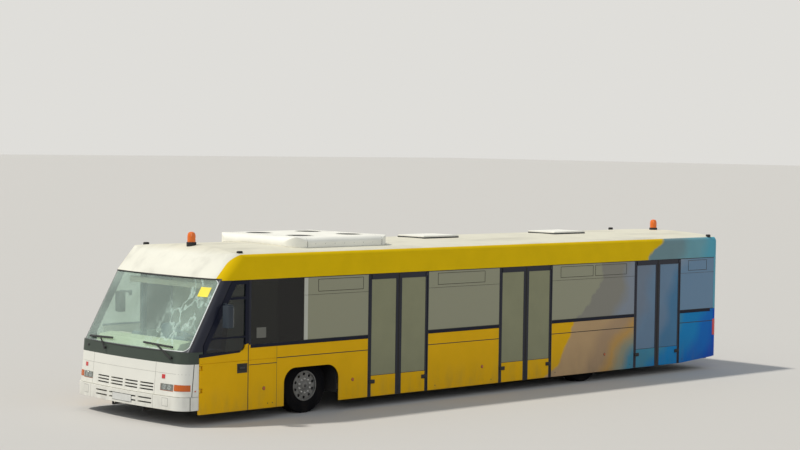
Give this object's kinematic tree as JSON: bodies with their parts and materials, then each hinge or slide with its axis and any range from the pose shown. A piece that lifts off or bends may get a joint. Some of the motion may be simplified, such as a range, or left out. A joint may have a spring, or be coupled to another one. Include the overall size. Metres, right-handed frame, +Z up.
{
  "type": "airport passenger bus",
  "caption": "Wide low-floor airport apron bus with double doors on both sides, a driver's cab, a raked windscreen, a roof unit and steerable front wheels.",
  "frame": {"origin": "on the ground under the middle of the vehicle's bounding box", "axes": "-Y is the front, +X the vehicle's left, +Z up"},
  "size_m": [3.56, 13.82, 3.028],
  "materials": {
    "yellow_paint": "gloss paint, warm yellow",
    "white_paint": "gloss paint, warm white",
    "blue_paint": "gloss paint, strong blue",
    "dark_paint": "satin near-black paint",
    "chassis": "matte black chassis paint",
    "drive": "matte grey paint",
    "floor": "grey ribbed covering",
    "clear_glass": "clear, slightly green",
    "dark_glass": "dark tinted",
    "leaf_dark": "satin near-black frame",
    "grey_plastic": "dark grey green, matte",
    "black_plastic": "black, matte",
    "amber_plastic": "amber and clear lenses",
    "white_plastic": "off-white moulding",
    "dash": "light green, matte",
    "beige": "beige panels",
    "seat_fabric": "dark blue cloth",
    "rail_yellow": "yellow grab rails",
    "tyre": "black",
    "rim": "silver wheel paint"
  },
  "bodies": {
    "body": {"underframe": "chassis", "floor": "floor", "engine": "drive", "front_axle": "chassis", "rear_axle": "chassis", "skirt_left": "yellow_paint", "skirt_right": "yellow_paint", "pillars": "dark_paint", "roof_shell": "white_paint", "front_cap": "white_paint", "rear_panel": "blue_paint", "rear_glass": "dark_glass", "bumper": "white_paint", "fascia": "white_paint", "screen_apron": "grey_plastic", "screen_pillars": "dark_paint", "windscreen": "clear_glass", "glass_left": "dark_glass", "glass_right": "dark_glass", "mirror_right": "black_plastic", "wipers": "black_plastic", "lamps": "amber_plastic", "roof_unit": "white_plastic", "roof_hatches": "white_plastic", "dashboard": "dash", "steering_wheel": "black_plastic", "driver_seat": "seat_fabric", "partition": "beige", "bench": "seat_fabric", "grab_rails": "rail_yellow"},
    "driver_door": {"driver_door": "yellow_paint", "driver_door_glass": "dark_glass", "mirror_left": "black_plastic"},
    "knuckle_l": {"knuckle_l": "chassis"},
    "knuckle_r": {"knuckle_r": "chassis"},
    "tie_rod": {"tie_rod": "chassis"},
    "wheel_fl": {"tyre_fl": "tyre", "rim_fl": "rim"},
    "wheel_fr": {"tyre_fr": "tyre", "rim_fr": "rim"},
    "wheel_rl": {"tyre_rl": "tyre", "rim_rl": "rim"},
    "wheel_rr": {"tyre_rr": "tyre", "rim_rr": "rim"},
    "leaf_l1_front": {"leaf_l1_front": "leaf_dark"},
    "leaf_l1_rear": {"leaf_l1_rear": "leaf_dark"},
    "leaf_l2_front": {"leaf_l2_front": "leaf_dark"},
    "leaf_l2_rear": {"leaf_l2_rear": "leaf_dark"},
    "leaf_l3_front": {"leaf_l3_front": "leaf_dark"},
    "leaf_l3_rear": {"leaf_l3_rear": "leaf_dark"},
    "leaf_r1_front": {"leaf_r1_front": "leaf_dark"},
    "leaf_r1_rear": {"leaf_r1_rear": "leaf_dark"},
    "leaf_r2_front": {"leaf_r2_front": "leaf_dark"},
    "leaf_r2_rear": {"leaf_r2_rear": "leaf_dark"},
    "leaf_r3_front": {"leaf_r3_front": "leaf_dark"},
    "leaf_r3_rear": {"leaf_r3_rear": "leaf_dark"}
  },
  "joints": [
    {"name": "steer_l", "type": "hinge", "parent": "body", "child": "knuckle_l", "pos_m": [1.08, -4.1, 0.46], "axis": [0, 0, 1], "range_deg": [-38, 38]},
    {"name": "steer_r", "type": "hinge", "parent": "body", "child": "knuckle_r", "pos_m": [-1.08, -4.1, 0.46], "axis": [0, 0, 1], "range_deg": [-38, 38]},
    {"name": "tie_rod_pivot", "type": "hinge", "parent": "knuckle_l", "child": "tie_rod", "pos_m": [1.08, -3.985, 0.33], "axis": [0, 0, 1], "range_deg": [-38, 38]},
    {"name": "spin_fl", "type": "hinge", "parent": "knuckle_l", "child": "wheel_fl", "pos_m": [1.18, -4.1, 0.46], "axis": [1, 0, 0], "continuous": true},
    {"name": "spin_fr", "type": "hinge", "parent": "knuckle_r", "child": "wheel_fr", "pos_m": [-1.18, -4.1, 0.46], "axis": [1, 0, 0], "continuous": true},
    {"name": "spin_rl", "type": "hinge", "parent": "body", "child": "wheel_rl", "pos_m": [1.18, 3, 0.46], "axis": [1, 0, 0], "continuous": true},
    {"name": "spin_rr", "type": "hinge", "parent": "body", "child": "wheel_rr", "pos_m": [-1.18, 3, 0.46], "axis": [1, 0, 0], "continuous": true},
    {"name": "driver_door_hinge", "type": "hinge", "parent": "body", "child": "driver_door", "pos_m": [1.47, -6.44, 1], "axis": [0, 0, -1], "range_deg": [0, 75]},
    {"name": "leaf_l1_front_hinge", "type": "hinge", "parent": "body", "child": "leaf_l1_front", "pos_m": [1.48, -2.7805, 1.2], "axis": [0, 0, -1], "range_deg": [0, 90]},
    {"name": "leaf_l1_rear_hinge", "type": "hinge", "parent": "body", "child": "leaf_l1_rear", "pos_m": [1.48, -1.4285, 1.2], "axis": [0, 0, 1], "range_deg": [0, 90]},
    {"name": "leaf_l2_front_hinge", "type": "hinge", "parent": "body", "child": "leaf_l2_front", "pos_m": [1.48, 0.48596, 1.2], "axis": [0, 0, -1], "range_deg": [0, 90]},
    {"name": "leaf_l2_rear_hinge", "type": "hinge", "parent": "body", "child": "leaf_l2_rear", "pos_m": [1.48, 1.83796, 1.2], "axis": [0, 0, 1], "range_deg": [0, 90]},
    {"name": "leaf_l3_front_hinge", "type": "hinge", "parent": "body", "child": "leaf_l3_front", "pos_m": [1.48, 4.35134, 1.2], "axis": [0, 0, -1], "range_deg": [0, 90]},
    {"name": "leaf_l3_rear_hinge", "type": "hinge", "parent": "body", "child": "leaf_l3_rear", "pos_m": [1.48, 5.70334, 1.2], "axis": [0, 0, 1], "range_deg": [0, 90]},
    {"name": "leaf_r1_front_hinge", "type": "hinge", "parent": "body", "child": "leaf_r1_front", "pos_m": [-1.48, -2.7805, 1.2], "axis": [0, 0, 1], "range_deg": [0, 90]},
    {"name": "leaf_r1_rear_hinge", "type": "hinge", "parent": "body", "child": "leaf_r1_rear", "pos_m": [-1.48, -1.4285, 1.2], "axis": [0, 0, -1], "range_deg": [0, 90]},
    {"name": "leaf_r2_front_hinge", "type": "hinge", "parent": "body", "child": "leaf_r2_front", "pos_m": [-1.48, 0.48596, 1.2], "axis": [0, 0, 1], "range_deg": [0, 90]},
    {"name": "leaf_r2_rear_hinge", "type": "hinge", "parent": "body", "child": "leaf_r2_rear", "pos_m": [-1.48, 1.83796, 1.2], "axis": [0, 0, -1], "range_deg": [0, 90]},
    {"name": "leaf_r3_front_hinge", "type": "hinge", "parent": "body", "child": "leaf_r3_front", "pos_m": [-1.48, 4.35134, 1.2], "axis": [0, 0, 1], "range_deg": [0, 90]},
    {"name": "leaf_r3_rear_hinge", "type": "hinge", "parent": "body", "child": "leaf_r3_rear", "pos_m": [-1.48, 5.70334, 1.2], "axis": [0, 0, -1], "range_deg": [0, 90]}
  ],
  "couplings": [
    {"joint": "steer_r", "follows": "steer_l", "ratio": 1},
    {"joint": "tie_rod_pivot", "follows": "steer_l", "ratio": -1},
    {"joint": "leaf_l1_rear_hinge", "follows": "leaf_l1_front_hinge", "ratio": 1},
    {"joint": "leaf_l2_rear_hinge", "follows": "leaf_l2_front_hinge", "ratio": 1},
    {"joint": "leaf_l3_rear_hinge", "follows": "leaf_l3_front_hinge", "ratio": 1},
    {"joint": "leaf_r1_rear_hinge", "follows": "leaf_r1_front_hinge", "ratio": 1},
    {"joint": "leaf_r2_rear_hinge", "follows": "leaf_r2_front_hinge", "ratio": 1},
    {"joint": "leaf_r3_rear_hinge", "follows": "leaf_r3_front_hinge", "ratio": 1}
  ]
}
